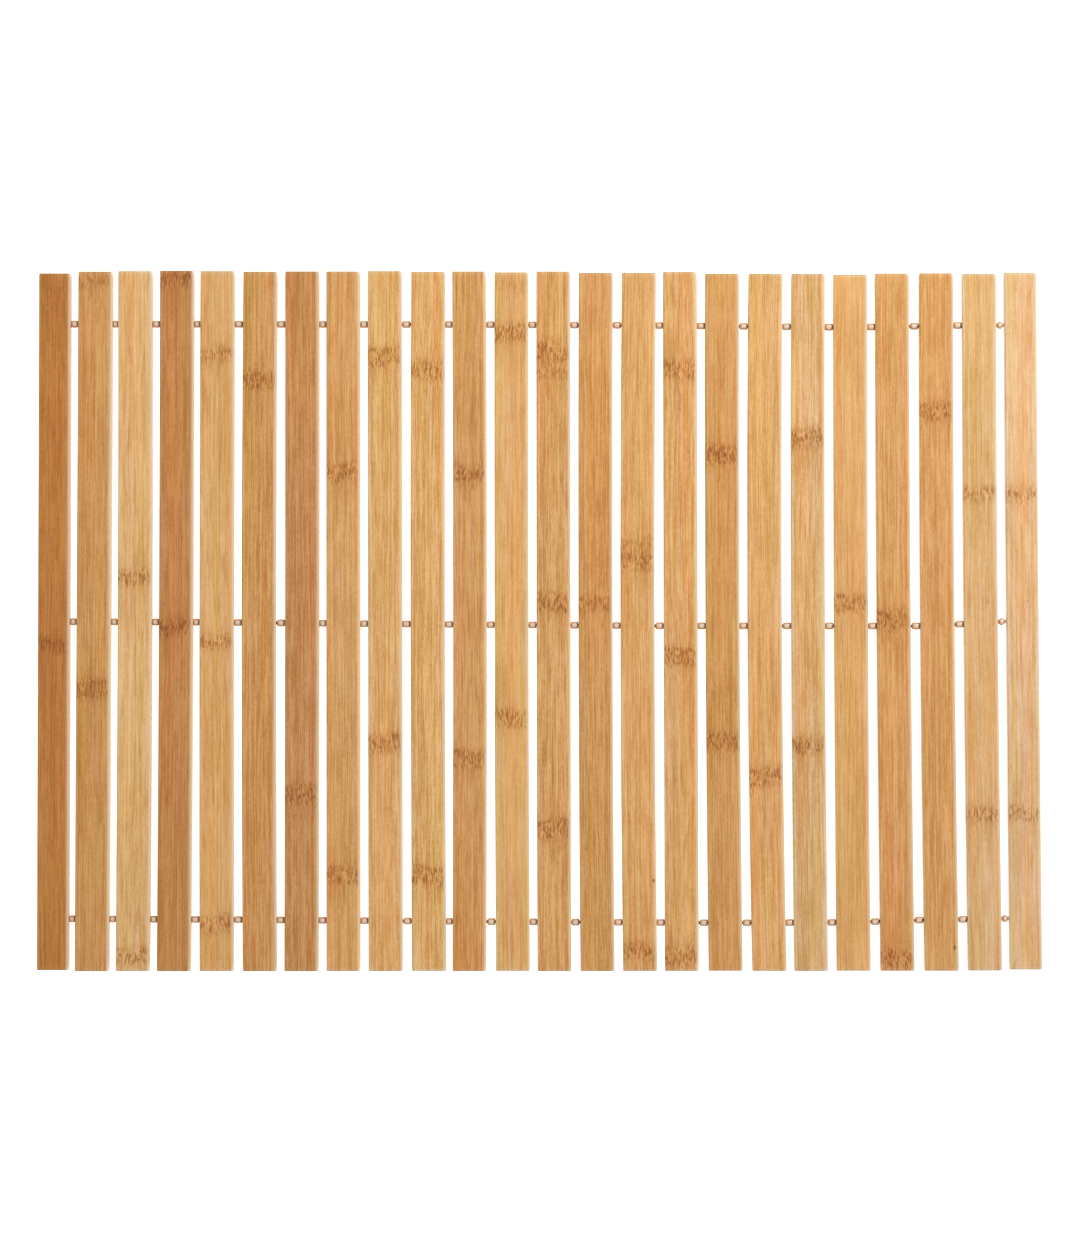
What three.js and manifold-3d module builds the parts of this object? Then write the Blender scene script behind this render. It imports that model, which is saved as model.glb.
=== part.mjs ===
// Bamboo duckboard mat: flat slats side by side, strung on three cords with one small bead in each gap.
// Millimetres, +Z up. The cords run along X, the slats along Y, and the mat lies flat on z = 0.
// Y = 0 is the middle line of the mat, with the head ends of the slats at +Y and the foot ends at -Y.
import * as THREE from 'three';
import { mergeVertices } from 'three/addons/utils/BufferGeometryUtils.js';
import Module from 'manifold-3d';

// Slats
const SLAT_THICKNESS = 8;
const SLAT_EDGE_RADIUS = 1.6;
const SLAT_EDGE_SEGMENTS = 2;
const SLAT_END_CHAMFER = 0.3;
const SLAT_LENGTH_STEPS = 4;

// Cords, beads and the holes that they pass through
const CORD_HEIGHT = SLAT_THICKNESS / 2;
const CORD_RADIUS = 1;
const BEAD_RADIUS = 2.15;
const BEAD_ARC_STEPS = 4;
const KNOT_RADIUS = 1.9;
const KNOT_SHOULDER = 0.6;
const HOLE_RADIUS = 1.45;
const KNOT_POCKET_RADIUS = 2.35;
const KNOT_POCKET_DEPTH = 4;
const ROUND_SIDES = 8;
const CLEARANCE = 0.35;
const CUT_OVERRUN = 2;
const MERGE_TOLERANCE = 1e-4;

// Bamboo tones, the darkest first
const TONES = {
  amber: '#c47b38',
  caramel: '#d29050',
  honey: '#dfa35e',
  straw: '#e6ad68',
  wheat: '#ecba78',
  pale: '#edc088',
};
const BEAD_COLOUR = '#d9c3a6';

// One row a slat, from the left. x is its middle and width its own width, both at the middle cord. lean is
// how far its foot stands to the right of its head, and bow how far its middle stands to the right of its
// ends. head and foot are the distances of its ends from the middle line.
const SLATS = [
  { x: -290.0, width: 19.0, lean: -1.4, bow: 0.0, head: 207.6, foot: 208.5, tone: 'amber' },
  { x: -266.2, width: 20.5, lean: -2.3, bow: 0.0, head: 208.7, foot: 209.2, tone: 'caramel' },
  { x: -241.7, width: 20.4, lean: -1.6, bow: 0.5, head: 209.0, foot: 209.1, tone: 'wheat' },
  { x: -217.1, width: 20.3, lean: -2.0, bow: 0.3, head: 209.2, foot: 209.2, tone: 'caramel' },
  { x: -192.8, width: 20.5, lean: -0.6, bow: -0.3, head: 209.0, foot: 209.1, tone: 'wheat' },
  { x: -167.6, width: 20.4, lean: -0.4, bow: -0.8, head: 208.7, foot: 209.2, tone: 'honey' },
  { x: -141.7, width: 20.4, lean: -0.5, bow: 0.2, head: 208.8, foot: 209.2, tone: 'honey' },
  { x: -117.1, width: 20.3, lean: 0.1, bow: 0.0, head: 208.8, foot: 209.1, tone: 'straw' },
  { x: -92.1, width: 20.5, lean: 0.5, bow: 0.0, head: 209.0, foot: 209.2, tone: 'straw' },
  { x: -66.7, width: 20.5, lean: 0.6, bow: -0.6, head: 208.7, foot: 209.0, tone: 'wheat' },
  { x: -41.4, width: 20.2, lean: 0.2, bow: 0.5, head: 208.8, foot: 209.1, tone: 'straw' },
  { x: -16.6, width: 20.3, lean: 0.9, bow: -0.4, head: 208.3, foot: 209.0, tone: 'pale' },
  { x: 8.5, width: 20.3, lean: 0.7, bow: -0.2, head: 208.8, foot: 209.1, tone: 'straw' },
  { x: 33.6, width: 20.4, lean: 1.0, bow: -0.7, head: 208.0, foot: 209.1, tone: 'honey' },
  { x: 58.7, width: 20.4, lean: 0.7, bow: -1.2, head: 208.1, foot: 209.0, tone: 'wheat' },
  { x: 84.5, width: 20.3, lean: 1.2, bow: -0.1, head: 208.5, foot: 209.0, tone: 'honey' },
  { x: 109.5, width: 20.3, lean: 2.2, bow: -0.8, head: 207.5, foot: 208.9, tone: 'honey' },
  { x: 134.7, width: 20.5, lean: 2.3, bow: -1.7, head: 207.5, foot: 209.0, tone: 'straw' },
  { x: 160.6, width: 20.2, lean: 1.9, bow: -0.9, head: 207.5, foot: 209.0, tone: 'wheat' },
  { x: 186.3, width: 20.3, lean: 2.1, bow: -0.5, head: 206.9, foot: 208.9, tone: 'straw' },
  { x: 211.8, width: 20.3, lean: 3.4, bow: -0.6, head: 207.6, foot: 208.9, tone: 'honey' },
  { x: 237.9, width: 20.4, lean: 3.4, bow: -0.9, head: 207.7, foot: 208.9, tone: 'honey' },
  { x: 263.8, width: 20.3, lean: 3.7, bow: -0.7, head: 207.4, foot: 208.8, tone: 'pale' },
  { x: 288.8, width: 19.4, lean: 3.6, bow: -0.2, head: 208.2, foot: 208.2, tone: 'pale' },
];

// One row a cord. path is the way that it takes across the mat, and proud how far the knot at each end
// stands out of the outer slat's side.
const CORDS = [
  {
    name: 'string_top',
    path: [
      { x: -300, y: 177.5 }, { x: -55, y: 177.3 }, { x: 60, y: 176.8 }, { x: 185, y: 175.6 },
      { x: 250, y: 176.7 }, { x: 300, y: 176.9 },
    ],
    proudLeft: -0.4,
    proudRight: -0.4,
  },
  {
    name: 'string_middle',
    path: [
      { x: -300, y: -0.4 }, { x: -205, y: -0.7 }, { x: -60, y: -2 }, { x: 70, y: -2.9 },
      { x: 225, y: -3 }, { x: 250, y: -2 }, { x: 276, y: -0.4 }, { x: 300, y: 0.5 },
    ],
    proudLeft: -0.4,
    proudRight: 1.3,
  },
  {
    name: 'string_bottom',
    path: [
      { x: -300, y: -178 }, { x: -180, y: -178.6 }, { x: -30, y: -179.8 }, { x: 110, y: -180.5 },
      { x: 190, y: -180.2 }, { x: 220, y: -179 }, { x: 300, y: -177.6 },
    ],
    proudLeft: -0.4,
    proudRight: -0.4,
  },
];

const wasm = await Module();
wasm.setup();

// How far a slat's centre line lies to the right of its own middle, at a place along the mat
function slatOffset(slat, y) {
  const along = y / (slat.head + slat.foot);
  return -slat.lean * along - slat.bow * (2 * along) ** 2;
}

function slatSide(slat, y, side) {
  return slat.x + slatOffset(slat, y) + side * slat.width / 2;
}

// The slats, moved so that the mat is centred on x = 0 between the widest points at its foot end
function centredSlats() {
  const first = SLATS[0];
  const last = SLATS[SLATS.length - 1];
  const centre = (slatSide(first, -first.foot, -1) + slatSide(last, -last.foot, 1)) / 2;
  return SLATS.map((slat) => ({ ...slat, x: slat.x - centre }));
}

const slats = centredSlats();
const firstSlat = slats[0];
const lastSlat = slats[slats.length - 1];

// A cord's height on the mat, at a place across it
function cordY(cord, x) {
  const inner = cord.path.slice(1, -1);
  const passed = inner.filter((point) => point.x < x).length;
  const from = cord.path[passed];
  const to = cord.path[passed + 1];
  return THREE.MathUtils.mapLinear(x, from.x, to.x, from.y, to.y);
}

// Where a cord passes a slat's side
function cordPoint(cord, slat, side) {
  const nearY = cordY(cord, slatSide(slat, 0, side));
  const x = slatSide(slat, nearY, side);
  return { x, y: cordY(cord, x) };
}

function toSolid(geometry) {
  geometry.deleteAttribute('normal');
  geometry.deleteAttribute('uv');
  const merged = mergeVertices(geometry, MERGE_TOLERANCE);
  return new wasm.Manifold(new wasm.Mesh({
    numProp: 3,
    vertProperties: new Float32Array(merged.attributes.position.array),
    triVerts: new Uint32Array(merged.index.array),
  }));
}

function toGeometry(solid) {
  const mesh = solid.getMesh();
  const geometry = new THREE.BufferGeometry();
  geometry.setAttribute('position', new THREE.BufferAttribute(mesh.vertProperties, mesh.numProp));
  geometry.setIndex(new THREE.BufferAttribute(mesh.triVerts, 1));
  geometry.computeVertexNormals();
  return geometry;
}

// Rounded rectangle that stands on y = 0 and is centred on x = 0
function slatSection(width) {
  const radius = SLAT_EDGE_RADIUS;
  const right = width / 2 - radius;
  const upper = SLAT_THICKNESS - radius;
  const shape = new THREE.Shape();
  shape.absarc(right, radius, radius, -Math.PI / 2, 0);
  shape.absarc(right, upper, radius, 0, Math.PI / 2);
  shape.absarc(-right, upper, radius, Math.PI / 2, Math.PI);
  shape.absarc(-right, radius, radius, Math.PI, 1.5 * Math.PI);
  return shape;
}

// The slat before it is drilled: a straight strip with chamfered ends, then leaned and bowed sideways
function slatBlank(slat) {
  const geometry = new THREE.ExtrudeGeometry(slatSection(slat.width), {
    depth: slat.head + slat.foot - 2 * SLAT_END_CHAMFER,
    steps: SLAT_LENGTH_STEPS,
    curveSegments: SLAT_EDGE_SEGMENTS,
    bevelThickness: SLAT_END_CHAMFER,
    bevelSize: SLAT_END_CHAMFER,
    bevelOffset: -SLAT_END_CHAMFER,
    bevelSegments: 1,
  });
  geometry.rotateX(Math.PI / 2);
  geometry.translate(0, slat.head - SLAT_END_CHAMFER, 0);
  const position = geometry.attributes.position;
  for (let i = 0; i < position.count; i += 1) {
    position.setX(i, position.getX(i) + slatOffset(slat, position.getY(i)));
  }
  return geometry;
}

// A round cutter through two points at cord height, run past each of them by its own overrun
function roundCutter(from, to, radius, overrunFrom, overrunTo) {
  const length = Math.hypot(to.x - from.x, to.y - from.y);
  const geometry = new THREE.CylinderGeometry(radius, radius, length + overrunFrom + overrunTo, ROUND_SIDES);
  geometry.rotateZ(-Math.PI / 2);
  geometry.translate((length + overrunTo - overrunFrom) / 2, 0, 0);
  geometry.rotateZ(Math.atan2(to.y - from.y, to.x - from.x));
  geometry.translate(from.x, from.y, CORD_HEIGHT);
  return toSolid(geometry);
}

// The cutter for the pocket that takes an end knot, where a cord runs from an outer side to an inner one
function pocketCutter(outer, inner) {
  const share = KNOT_POCKET_DEPTH / Math.abs(inner.x - outer.x);
  const deep = {
    x: THREE.MathUtils.lerp(outer.x, inner.x, share),
    y: THREE.MathUtils.lerp(outer.y, inner.y, share),
  };
  return roundCutter(outer, deep, KNOT_POCKET_RADIUS, CUT_OVERRUN, 0);
}

function makeSlat(slat, index) {
  let solid = toSolid(slatBlank(slat));
  for (const cord of CORDS) {
    const left = cordPoint(cord, slat, -1);
    const right = cordPoint(cord, slat, 1);
    left.x -= slat.x;
    right.x -= slat.x;
    solid = solid.subtract(roundCutter(left, right, HOLE_RADIUS, CUT_OVERRUN, CUT_OVERRUN));
    if (slat === firstSlat) {
      solid = solid.subtract(pocketCutter(left, right));
    }
    if (slat === lastSlat) {
      solid = solid.subtract(pocketCutter(right, left));
    }
  }
  const material = new THREE.MeshStandardMaterial({ color: TONES[slat.tone], roughness: 0.55, metalness: 0 });
  const mesh = new THREE.Mesh(toGeometry(solid), material);
  mesh.name = `slat_${String(index + 1).padStart(2, '0')}`;
  mesh.position.x = slat.x;
  return mesh;
}

// The rings of one bead, as radius and place along the cord, swelling as half an ellipse from the cord
function beadRings(start, end) {
  const rings = [];
  for (let step = 0; step <= BEAD_ARC_STEPS; step += 1) {
    const turn = Math.PI * step / BEAD_ARC_STEPS;
    const along = (start + end) / 2 - Math.cos(turn) * (end - start) / 2;
    rings.push(new THREE.Vector2(CORD_RADIUS + (BEAD_RADIUS - CORD_RADIUS) * Math.sin(turn), along));
  }
  return rings;
}

// The rings of an end knot, from its shoulder on the cord, in the given direction, out to its tip
function knotRings(shoulder, tip) {
  const towards = Math.sign(tip - shoulder);
  return [
    new THREE.Vector2(CORD_RADIUS, shoulder),
    new THREE.Vector2(KNOT_RADIUS, shoulder + towards * KNOT_SHOULDER),
    new THREE.Vector2(KNOT_RADIUS, tip - towards * KNOT_SHOULDER),
    new THREE.Vector2(CORD_RADIUS, tip),
    new THREE.Vector2(0, tip),
  ];
}

// A cord with its beads and both end knots, as one turned solid whose points follow the cord's path
function makeString(cord) {
  const first = cordPoint(cord, firstSlat, -1);
  const last = cordPoint(cord, lastSlat, 1);
  const inset = KNOT_POCKET_DEPTH - CLEARANCE;
  const profile = knotRings(first.x + inset, first.x - cord.proudLeft).reverse();
  for (let i = 1; i < slats.length; i += 1) {
    const start = cordPoint(cord, slats[i - 1], 1).x + CLEARANCE;
    const end = cordPoint(cord, slats[i], -1).x - CLEARANCE;
    profile.push(...beadRings(start, end));
  }
  profile.push(...knotRings(last.x - inset, last.x + cord.proudRight));
  const geometry = new THREE.LatheGeometry(profile, ROUND_SIDES);
  geometry.rotateZ(-Math.PI / 2);
  const position = geometry.attributes.position;
  for (let i = 0; i < position.count; i += 1) {
    position.setY(i, position.getY(i) + cordY(cord, position.getX(i)));
  }
  const material = new THREE.MeshStandardMaterial({ color: BEAD_COLOUR, roughness: 0.5, metalness: 0 });
  const mesh = new THREE.Mesh(geometry, material);
  mesh.name = cord.name;
  mesh.position.z = CORD_HEIGHT;
  return mesh;
}

const group = new THREE.Group();
slats.forEach((slat, index) => group.add(makeSlat(slat, index)));
CORDS.forEach((cord) => group.add(makeString(cord)));

export default group;
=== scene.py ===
"""Bamboo duckboard mat: slats with grain and knuckles, strung on twisted cords with a bead in each gap."""

import math

import bmesh
import bpy
import numpy as np
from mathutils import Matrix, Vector


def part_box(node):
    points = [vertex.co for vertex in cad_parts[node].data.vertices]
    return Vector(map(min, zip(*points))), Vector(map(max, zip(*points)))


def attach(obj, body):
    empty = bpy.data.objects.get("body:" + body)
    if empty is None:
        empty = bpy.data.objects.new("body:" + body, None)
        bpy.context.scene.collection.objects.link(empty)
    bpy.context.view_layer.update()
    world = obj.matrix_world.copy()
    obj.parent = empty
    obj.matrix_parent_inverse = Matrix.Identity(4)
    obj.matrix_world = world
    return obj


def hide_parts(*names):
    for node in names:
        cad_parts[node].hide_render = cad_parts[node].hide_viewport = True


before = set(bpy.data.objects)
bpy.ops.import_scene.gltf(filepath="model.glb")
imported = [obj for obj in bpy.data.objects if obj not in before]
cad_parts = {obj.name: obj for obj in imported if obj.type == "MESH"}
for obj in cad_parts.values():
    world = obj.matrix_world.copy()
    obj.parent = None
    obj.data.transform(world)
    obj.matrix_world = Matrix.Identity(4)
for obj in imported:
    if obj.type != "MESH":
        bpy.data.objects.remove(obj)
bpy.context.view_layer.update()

MM = 0.001

# The photograph's frame, and the stretch of the slats' upper faces that it takes in
FRAME_HEIGHT_PIXELS = 1242
METRES_PER_PIXEL = 0.000597
CAMERA_DISTANCE = 2.2
CAMERA_X = 0.00025
CAMERA_Y = 0.0
SENSOR_HEIGHT_MM = 36

# The floor, the key light and the even light from all round
FLOOR_HALF = 6.0
FLOOR_DROP = 0.05 * MM
KEY_PLACE = (0.8, 0.8, 0.9)
KEY_TARGET = (0.2, 0.1, 0.0)
KEY_SIZE = 0.4
KEY_POWER = 8.4
SKY_STRENGTH = 0.66

# The slats as their solids have them, and how near two points lie that count as one place
SLAT_COUNT = 24
SLAT_THICKNESS = 8 * MM
SLAT_EDGE_RADIUS = 1.6 * MM
CORD_HEIGHT = SLAT_THICKNESS / 2
SAME_PLACE = 0.02 * MM

# How finely the slats are meshed, and above which angle in degrees an edge stays sharp
SECTION_SPACING = 2.5 * MM
CORNER_STEPS = 5
FACE_STEPS = 8
SIDE_STEPS = 3
END_STEPS = 2
SLAT_SHARP_ANGLE = 40

# The slats' rounded edges, and the slight unevenness of their sides and upper faces, each with its longest
# and shortest waves in metres. The face's ripple slants by FACE_SLANT of the thickness on its way to a side.
END_ROUNDING = 0.3 * MM
LEFT_EDGE_RADIUS = 1.2 * MM
LOWER_EDGE_RADIUS = 1.5 * MM
LEAST_EDGE_RADIUS = 0.2 * MM
SLAT_SEED = 100
EDGE_WOBBLE = 0.03 * MM
EDGE_WAVES = (0.30, 0.03)
FACE_RIPPLE = 0.03 * MM
FACE_WAVES = (0.20, 0.012)
FACE_SLANT = 0.3

# Radii of a narrow and a wide upper right edge, in mm, and how strong the painted highlight is on a sharp
# one beside a wide one
NARROW_EDGE = 1.0
WIDE_EDGE = 1.7
LEAST_EDGE_HIGHLIGHT = 0.7

# How strongly a slat's grain shows, and how much of it is short dark dashes
CALM_GRAIN = 0.7
PLAIN_GRAIN = 1.0
STRONG_GRAIN = 1.25
FEW_DASHES = 0.3
MANY_DASHES = 0.7

# Holes, with a small chamfer at each mouth, and the pockets that take the end knots
HOLE_RADIUS = 1.45 * MM
HOLE_CHAMFER = 0.3 * MM
POCKET_RADIUS = 2.35 * MM
POCKET_DEPTH = 4 * MM
HOLE_SIDES = 28
CUT_OVERRUN = 2 * MM

# Beads. The body takes BEAD_BODY_SHARE of the length, and BEAD_SWELL below 1 makes it fuller than a ball.
# The last bead of a row is shorter, has lower collars, and has its painted flank shade on its left side
# alone.
BEAD_RADIUS = 2.3 * MM
BEAD_BODY_SHARE = 0.66
BEAD_COLLAR_RADIUS = 2.0 * MM
BEAD_BORE = 1.2 * MM
BEAD_LIP = 0.15 * MM
BEAD_HALF_LENGTH = 2.3 * MM
BEAD_CLEARANCE = 0.15 * MM
BEAD_SWELL = 0.65
BEAD_LEAST_SIZE = 0.95
BEAD_SIDES = 28
BEAD_STEPS = 14
BEAD_SEED = 40
BEAD_SHARP_ANGLE = 60
LAST_BEAD_SHRINK = 0.45 * MM
LAST_BEAD_SHIFT = 0.35 * MM
LAST_BEAD_COLLAR_RADIUS = 1.5 * MM
LAST_BEAD_PALE_FROM = 0.4
MERGE_DISTANCE = 0.001 * MM

# Cords and knots. A cord is painted dark brown for the shade it lies in, and shows its own pale colour from
# CORD_OWN_COLOUR_START on; a tube's ends are drawn in to TUBE_END_SIZE.
CORD_RADIUS = 1.1 * MM
CORD_OWN_COLOUR_START = 264 * MM
CORD_OWN_COLOUR_RISE = 6 * MM
CORD_LAY = 5.5 * MM
CORD_SIDES = 15
CORD_STEP = 0.6 * MM
CORD_STRANDS = 3
CORD_SHARP_ANGLE = 70
STRAND_RELIEF = 0.13
CORD_END_GAP = 1.2 * MM
KNOT_DEPTH = 3.0 * MM
KNOT_STUB = 1.1 * MM
KNOT_SIDES = 12
WRAP_RADIUS = 0.95 * MM
WRAP_STRAND_RADIUS = 0.85 * MM
WRAP_TURNS = 1.75
WRAP_STEPS = 44
STUB_RADIUS = 0.9 * MM
STUB_STEPS = 7
STUB_INSET = 0.05 * MM
STUB_OFFSET = 0.1 * MM
TUBE_END_SIZE = 0.55
TUBE_END_RINGS = 2
NEARLY_UPRIGHT = 0.01

# Bamboo tones, from the darkest to the palest
TONES = {
    "russet": "#ca8236",
    "amber": "#d0904d",
    "toffee": "#d49658",
    "caramel": "#dba05b",
    "honey": "#dfa460",
    "golden": "#e3ab67",
    "straw": "#e7b06c",
    "blush": "#e5b67a",
    "wheat": "#ebb671",
    "linen": "#e9bd88",
    "cream": "#f2c07f",
}

# How light every slat's foot is beside its head
FOOT_SHADE = 0.95

# One row a slat, from the left. tone is its one colour. contrast is how strongly its grain shows, and dash
# how much of it is short dark dashes. edge is the radius of its upper right edge in mm. knuckles are the
# places of its knuckles along Y in mm, each with its strength.
SLATS = [
    {"tone": "russet",
     "contrast": PLAIN_GRAIN, "dash": FEW_DASHES, "edge": NARROW_EDGE,
     "knuckles": ((199, 0.3), (-14, 0.6))},
    {"tone": "caramel",
     "contrast": PLAIN_GRAIN, "dash": FEW_DASHES, "edge": WIDE_EDGE,
     "knuckles": ((203, 0.5), (-41, 1.0))},
    {"tone": "cream",
     "contrast": CALM_GRAIN, "dash": MANY_DASHES, "edge": NARROW_EDGE,
     "knuckles": ((26, 0.8), (-200, 0.8))},
    {"tone": "amber",
     "contrast": PLAIN_GRAIN, "dash": FEW_DASHES, "edge": NARROW_EDGE,
     "knuckles": ((204, 0.7), (-4, 0.9))},
    {"tone": "wheat",
     "contrast": CALM_GRAIN, "dash": MANY_DASHES, "edge": NARROW_EDGE,
     "knuckles": ((159, 0.55), (-12, 0.65), (-181, 0.75))},
    {"tone": "caramel",
     "contrast": STRONG_GRAIN, "dash": FEW_DASHES, "edge": NARROW_EDGE,
     "knuckles": ((144, 1.0),)},
    {"tone": "toffee",
     "contrast": STRONG_GRAIN, "dash": FEW_DASHES, "edge": NARROW_EDGE,
     "knuckles": ((-104, 1.2),)},
    {"tone": "golden",
     "contrast": PLAIN_GRAIN, "dash": FEW_DASHES, "edge": WIDE_EDGE,
     "knuckles": ((89, 0.9), (-152, 0.8))},
    {"tone": "wheat",
     "contrast": PLAIN_GRAIN, "dash": FEW_DASHES, "edge": NARROW_EDGE,
     "knuckles": ((158, 1.0), (-73, 1.0))},
    {"tone": "wheat",
     "contrast": STRONG_GRAIN, "dash": FEW_DASHES, "edge": NARROW_EDGE,
     "knuckles": ((150, 0.9), (-152, 1.0))},
    {"tone": "honey",
     "contrast": PLAIN_GRAIN, "dash": MANY_DASHES, "edge": WIDE_EDGE,
     "knuckles": ((88, 0.85), (-82, 0.95))},
    {"tone": "wheat",
     "contrast": CALM_GRAIN, "dash": FEW_DASHES, "edge": NARROW_EDGE,
     "knuckles": ((200, 0.35), (172, 0.9), (-58, 0.9))},
    {"tone": "golden",
     "contrast": STRONG_GRAIN, "dash": MANY_DASHES, "edge": NARROW_EDGE,
     "knuckles": ((161, 0.8), (148, 0.5), (11, 1.1), (-124, 1.0))},
    {"tone": "caramel",
     "contrast": STRONG_GRAIN, "dash": FEW_DASHES, "edge": NARROW_EDGE,
     "knuckles": ((10, 0.7),)},
    {"tone": "straw",
     "contrast": PLAIN_GRAIN, "dash": FEW_DASHES, "edge": NARROW_EDGE,
     "knuckles": ((46, 0.4), (35, 0.8), (-197, 0.75))},
    {"tone": "straw",
     "contrast": PLAIN_GRAIN, "dash": MANY_DASHES, "edge": WIDE_EDGE,
     "knuckles": ((150, 0.9), (-21, 1.0), (-200, 1.1))},
    {"tone": "caramel",
     "contrast": PLAIN_GRAIN, "dash": FEW_DASHES, "edge": NARROW_EDGE,
     "knuckles": ((99, 1.1), (-42, 0.3), (-72, 1.0))},
    {"tone": "straw",
     "contrast": PLAIN_GRAIN, "dash": FEW_DASHES, "edge": NARROW_EDGE,
     "knuckles": ((-93, 1.0),)},
    {"tone": "blush",
     "contrast": PLAIN_GRAIN, "dash": FEW_DASHES, "edge": NARROW_EDGE,
     "knuckles": ((109, 0.95), (-74, 0.9))},
    {"tone": "straw",
     "contrast": CALM_GRAIN, "dash": FEW_DASHES, "edge": NARROW_EDGE,
     "knuckles": ((10, 1.0),)},
    {"tone": "honey",
     "contrast": PLAIN_GRAIN, "dash": FEW_DASHES, "edge": NARROW_EDGE,
     "knuckles": ((1, 1.1), (-202, 1.0))},
    {"tone": "honey",
     "contrast": PLAIN_GRAIN, "dash": FEW_DASHES, "edge": NARROW_EDGE,
     "knuckles": ((126, 1.0),)},
    {"tone": "blush",
     "contrast": CALM_GRAIN, "dash": FEW_DASHES, "edge": NARROW_EDGE,
     "knuckles": ((76, 0.65), (-116, 0.65))},
    {"tone": "linen",
     "contrast": CALM_GRAIN, "dash": FEW_DASHES, "edge": NARROW_EDGE,
     "knuckles": ((76, 0.65), (-115, 0.65))},
]

# Small dark specks in the bamboo: the slat's number, the speck's place across and along it in mm, half its
# width in mm, and how faint it is. A speck is longer than it is wide.
SPECK_STRETCH = 1.6
SPECKS = [
    {"slat": 15, "across": 8.6, "along": -155.0, "radius": 1.1, "faint": 0.0},
    {"slat": 22, "across": 7.8, "along": -195.0, "radius": 1.2, "faint": 0.0},
    {"slat": 23, "across": 4.1, "along": 11.5, "radius": 1.5, "faint": 0.66},
    {"slat": 24, "across": 3.0, "along": 11.8, "radius": 1.6, "faint": 0.72},
]

# How far a knuckle's flecks and its warm shade spread along a slat, how far the shade lies below the flecks,
# and the height of the arch that the flecks lie in, with its turn in radians from the middle to a side
KNUCKLE_REACH = 5.8 * MM
KNUCKLE_HALO = 16 * MM
KNUCKLE_HALO_DROP = 4 * MM
KNUCKLE_ARCH = 0.9 * MM
KNUCKLE_ARCH_TURN = 2.5

# How far the grain moves on from one slat to the next, across and along, in metres
GRAIN_SHIFT_ACROSS = 0.37
GRAIN_SHIFT_ALONG = 1.31

# How far the painted highlight on the upper right edges, the painted grey shade on the left sides, the grey
# ends, and the browned saw cuts reach in
EDGE_HIGHLIGHT_WIDTH = 2.6 * MM
LEFT_SHADE_WIDTH = 2.1 * MM
GREY_END_WIDTH = 2.4 * MM
SAWN_FULL_WIDTH = 0.2 * MM
SAWN_WIDTH = 1.3 * MM

ROWS = ("top", "middle", "bottom")


def linear(hex_colour):
    """A colour's linear values from its hex code"""
    channels = [int(hex_colour[i:i + 2], 16) / 255 for i in (1, 3, 5)]
    return tuple(c / 12.92 if c <= 0.04045 else ((c + 0.055) / 1.055) ** 2.4 for c in channels)


def slat_node(index):
    return "slat_%02d" % (index + 1)


# What the frame says of each slat and each cord

def mesh_points(mesh):
    flat = np.empty(len(mesh.vertices) * 3, dtype=np.float32)
    mesh.vertices.foreach_get("co", flat)
    return flat.reshape(-1, 3).astype(float)


class SlatLine:
    """A slat's centre line, half width and ends, read from its solid"""

    def __init__(self, node):
        points = mesh_points(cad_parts[node].data)
        low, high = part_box(node)
        self.foot = low.y
        self.head = high.y
        rim = points[np.abs(points[:, 2] - SLAT_EDGE_RADIUS) < SAME_PLACE]
        centres = []
        halves = []
        for station in np.unique(np.round(rim[:, 1], 5)):
            across = rim[np.abs(rim[:, 1] - station) < SAME_PLACE][:, 0]
            centres.append((station, (across.max() + across.min()) / 2))
            halves.append((across.max() - across.min()) / 2)
        self.half = float(np.mean(halves))
        along, middle = np.array(centres).T
        self.curve = np.polyfit(along, middle, min(2, len(along) - 1))

    def centre(self, y):
        return np.polyval(self.curve, y)

    def side(self, y, sign):
        return float(self.centre(y) + sign * self.half)


class CordLine:
    """A cord's way across the mat, read from its solid"""

    def __init__(self, node):
        points = mesh_points(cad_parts[node].data)
        stations = np.unique(np.round(points[:, 0], 5))
        middles = []
        for station in stations:
            ring = points[np.abs(points[:, 0] - station) < SAME_PLACE]
            middles.append((station, (ring[:, 1].max() + ring[:, 1].min()) / 2))
        self.across, self.along = np.array(middles).T
        self.start = float(self.across[0])
        self.end = float(self.across[-1])

    def y(self, x):
        return float(np.interp(x, self.across, self.along))


slat_lines = [SlatLine(slat_node(index)) for index in range(SLAT_COUNT)]
cord_lines = {row: CordLine("string_" + row) for row in ROWS}


# Mesh helpers

def skin(name, rings, capped=True):
    """A closed mesh skinned over rings of points, all rings with the same count"""
    count = len(rings[0])
    points = [tuple(point) for ring in rings for point in ring]
    faces = []
    for row in range(len(rings) - 1):
        low = row * count
        for i in range(count):
            j = (i + 1) % count
            faces.append((low + i, low + j, low + count + j, low + count + i))
    if capped:
        faces.append(tuple(reversed(range(count))))
        faces.append(tuple(range(len(points) - count, len(points))))
    mesh = bpy.data.meshes.new(name)
    mesh.from_pydata(points, [], faces)
    outward(mesh)
    return mesh


def outward(mesh):
    work = bmesh.new()
    work.from_mesh(mesh)
    bmesh.ops.recalc_face_normals(work, faces=work.faces)
    work.to_mesh(mesh)
    work.free()
    mesh.update()


def circle(count):
    """Cosines and sines of evenly spaced angles once round"""
    angles = [2 * math.pi * side / count for side in range(count)]
    return [(math.cos(angle), math.sin(angle)) for angle in angles]


def add_object(name, mesh):
    thing = bpy.data.objects.new(name, mesh)
    bpy.context.scene.collection.objects.link(thing)
    return thing


def joined(name, meshes):
    """One mesh from several, which it uses up"""
    work = bmesh.new()
    for mesh in meshes:
        work.from_mesh(mesh)
    whole = bpy.data.meshes.new(name)
    work.to_mesh(whole)
    work.free()
    for mesh in meshes:
        bpy.data.meshes.remove(mesh)
    return whole


def smooth(mesh, sharp_degrees):
    mesh.polygons.foreach_set("use_smooth", [True] * len(mesh.polygons))
    mesh.set_sharp_from_angle(angle=math.radians(sharp_degrees))


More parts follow.
